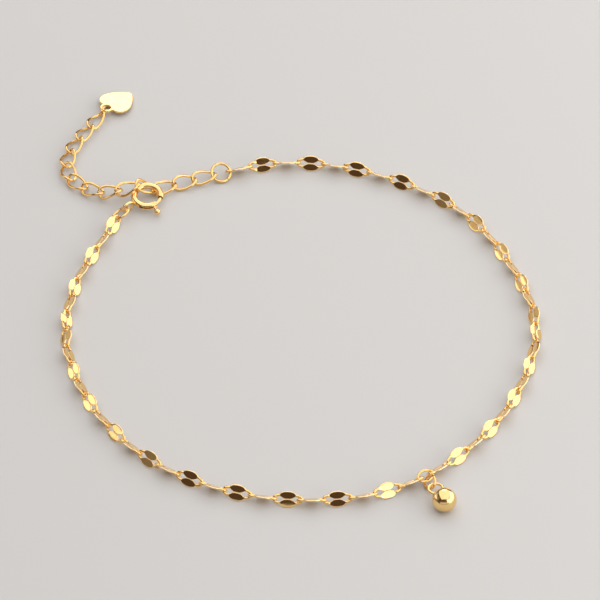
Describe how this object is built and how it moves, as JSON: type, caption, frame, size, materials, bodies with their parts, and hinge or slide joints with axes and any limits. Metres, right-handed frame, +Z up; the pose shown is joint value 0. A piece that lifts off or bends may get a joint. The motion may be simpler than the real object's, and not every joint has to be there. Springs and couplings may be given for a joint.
{
  "type": "chain anklet",
  "caption": "Fine gold lip-chain anklet, fastened in a loop by a spring ring clasp, with a ball charm and an extender chain that ends in a plain heart tag.",
  "frame": {"origin": "middle of the bounding box, on the table that the anklet lies on", "axes": "+Z up from the table, +Y from the charm's side to the heart tag, the longest way across the lying anklet"},
  "size_m": [0.0714, 0.0909, 0.0035],
  "materials": {
    "lip_gold": "mirror polished",
    "link_gold": "polished",
    "bright_gold": "mirror polished"
  },
  "bodies": {
    "anklet": {"lip_chain_left_1": "lip_gold", "lip_chain_left_2": "lip_gold", "lip_chain_left_3": "lip_gold", "lip_chain_left_4": "lip_gold", "lip_chain_left_5": "lip_gold", "lip_chain_right_1": "lip_gold", "lip_chain_right_2": "lip_gold", "lip_chain_right_3": "lip_gold", "lip_chain_right_4": "lip_gold", "lip_chain_right_5": "lip_gold", "charm_link": "link_gold", "charm_ring": "link_gold", "charm_ball": "bright_gold", "clasp_ring": "bright_gold", "clasp_jump_ring": "link_gold", "end_ring": "link_gold", "extender_link_01": "link_gold", "extender_link_02": "link_gold", "extender_link_03": "link_gold", "extender_link_04": "link_gold", "extender_link_05": "link_gold", "extender_link_06": "link_gold", "extender_link_07": "link_gold", "extender_link_08": "link_gold", "extender_link_09": "link_gold", "extender_link_10": "link_gold", "extender_link_11": "link_gold", "extender_link_12": "link_gold", "extender_link_13": "link_gold", "heart_ring": "link_gold", "heart_tag": "bright_gold"},
    "clasp_bolt": {"clasp_bolt": "bright_gold"}
  },
  "joints": [
    {"name": "clasp_bolt_slide", "type": "hinge", "parent": "anklet", "child": "clasp_bolt", "pos_m": [-0.0223, 0.0208, 0.00135], "axis": [0, 0.1564, -0.9877], "range_deg": [0, 44], "stiffness_Nm_per_rad": 0.002}
  ]
}
